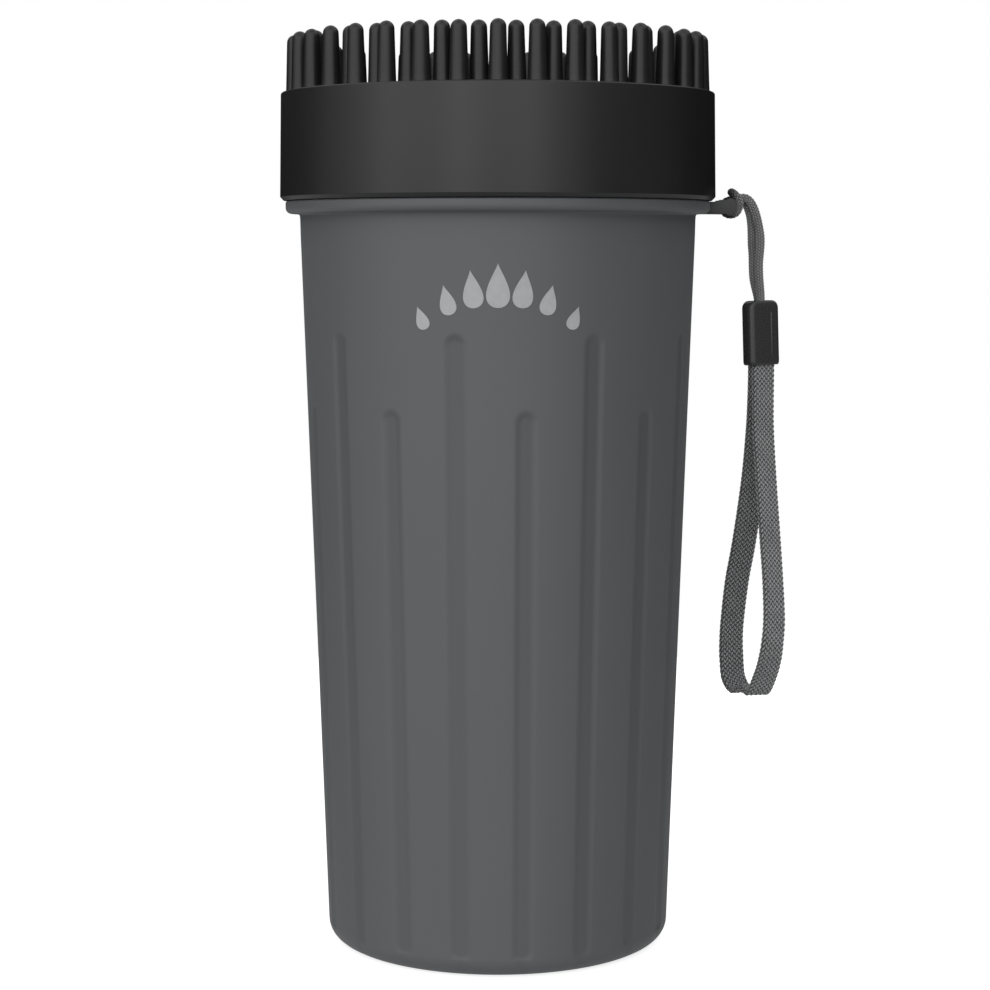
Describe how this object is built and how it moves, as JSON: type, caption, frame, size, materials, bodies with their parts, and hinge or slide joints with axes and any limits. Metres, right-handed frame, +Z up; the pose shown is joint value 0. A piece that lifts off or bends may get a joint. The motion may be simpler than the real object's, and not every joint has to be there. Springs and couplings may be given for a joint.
{
  "type": "paw washer cup",
  "caption": "Tapered fluted cup with a screw-on collar, a ring of upright rubber pins, a bristled inner sleeve and a wrist strap, for washing a pet's paws.",
  "frame": {"origin": "centre of the cup's flat underside", "axes": "+Z up along the cup's axis, +X towards the lanyard lug, -Y towards the front"},
  "size_m": [0.1163, 0.1002, 0.2098],
  "materials": {
    "cup_plastic": "satin moulded grey plastic with a fine grain",
    "collar_plastic": "smooth near-black moulded plastic",
    "pin_silicone": "soft matte dark grey silicone",
    "sleeve_silicone": "soft matte dark grey silicone",
    "seal_silicone": "soft black silicone",
    "ferrule_plastic": "smooth black moulded plastic",
    "cord_yarn": "thin knitted grey cord",
    "band_yarn": "flat braided grey band"
  },
  "bodies": {
    "cup": {"cup_body": "cup_plastic"},
    "seal": {"seal_ring": "seal_silicone"},
    "collar": {"collar": "collar_plastic"},
    "massage_ring": {"massage_ring": "pin_silicone"},
    "paw_sleeve": {"paw_sleeve": "sleeve_silicone", "bristle_lining": "sleeve_silicone"},
    "strap": {"lanyard_cord": "cord_yarn", "ferrule": "ferrule_plastic", "wrist_loop": "band_yarn"}
  },
  "joints": [
    {"name": "collar_turn", "type": "hinge", "parent": "seal", "child": "collar", "pos_m": [0, 0, 0.18], "axis": [0, 0, 1], "range_deg": [0, 540]},
    {"name": "collar_rise", "type": "slide", "parent": "cup", "child": "seal", "axis": [0, 0, 1], "range_m": [0, 0.0075]},
    {"name": "massage_ring_lift", "type": "slide", "parent": "collar", "child": "massage_ring", "axis": [0, 0, 1], "range_m": [0, 0.02]},
    {"name": "sleeve_lift", "type": "slide", "parent": "massage_ring", "child": "paw_sleeve", "axis": [0, 0, 1], "range_m": [0, 0.11]},
    {"name": "strap_swing", "type": "hinge", "parent": "cup", "child": "strap", "pos_m": [0.0537, 0, 0.17085], "axis": [0, -1, 0], "range_deg": [-4, 50]}
  ],
  "couplings": [
    {"joint": "collar_rise", "follows": "collar_turn", "m_per_rad": 0.00079577}
  ]
}
